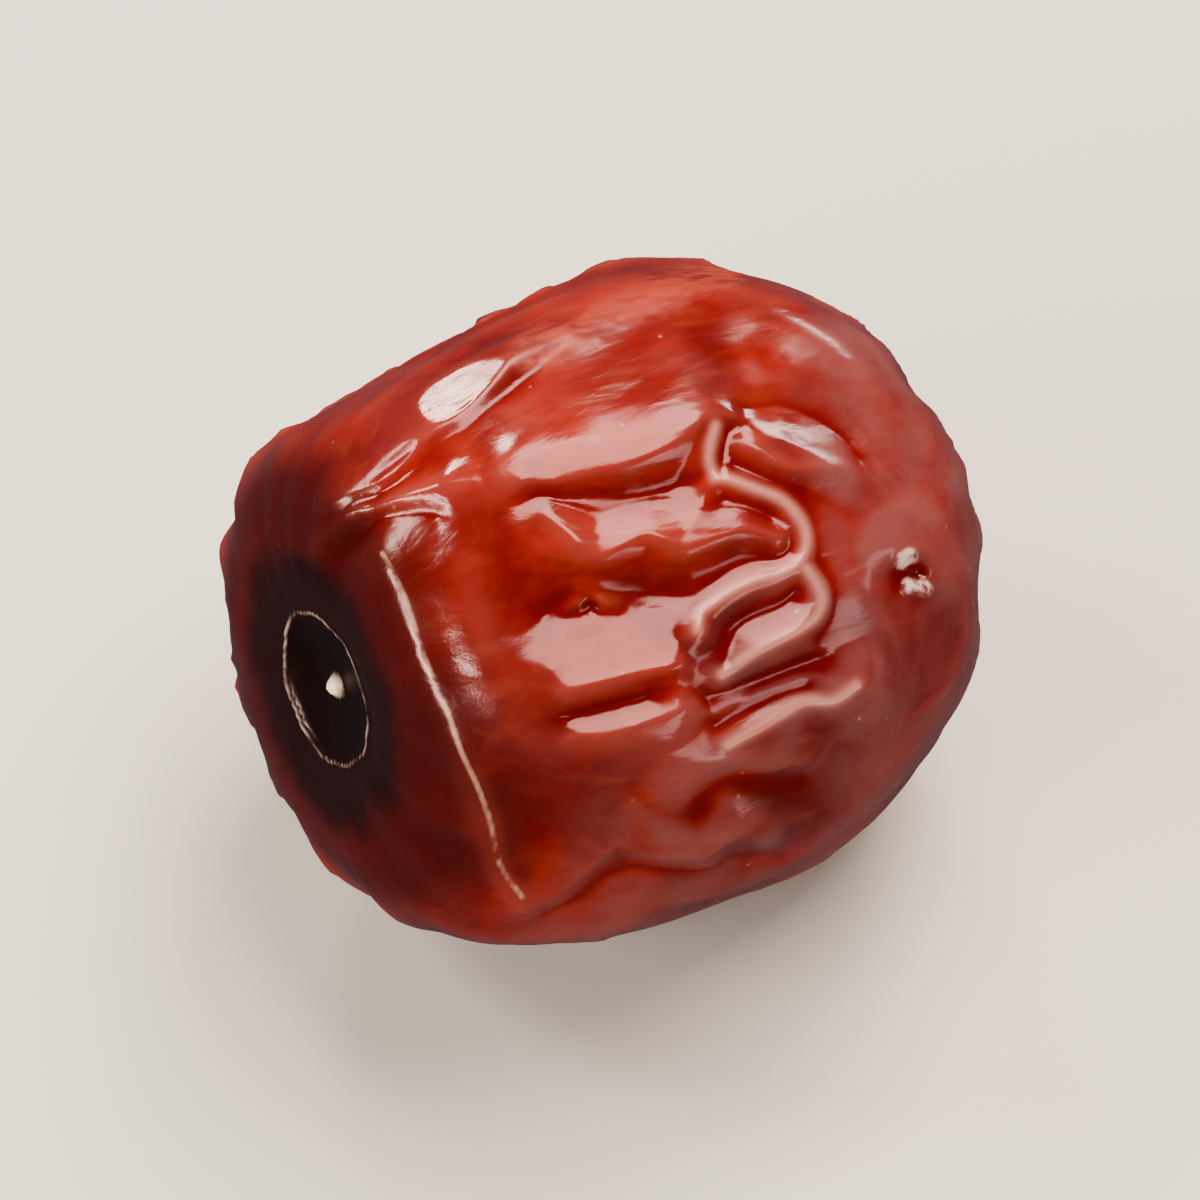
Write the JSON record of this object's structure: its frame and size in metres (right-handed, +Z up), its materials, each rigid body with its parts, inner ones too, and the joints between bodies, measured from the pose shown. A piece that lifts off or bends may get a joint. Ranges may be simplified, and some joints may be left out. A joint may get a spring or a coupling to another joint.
{
  "type": "dried jujube",
  "caption": "Dried jujube: a barrel-shaped fruit with deeply wrinkled glossy red-brown skin, a round stem hollow and a small blossom dimple.",
  "frame": {"origin": "bottom centre of the fruit's box, on the surface that it rests on", "axes": "+Z up; +X along the fruit as it lies, from its stem end to its blossom end"},
  "size_m": [0.029, 0.0256, 0.0259],
  "materials": {
    "skin": "waxy gloss, wrinkled"
  },
  "bodies": {
    "root": {"jujube": "skin"}
  },
  "joints": []
}
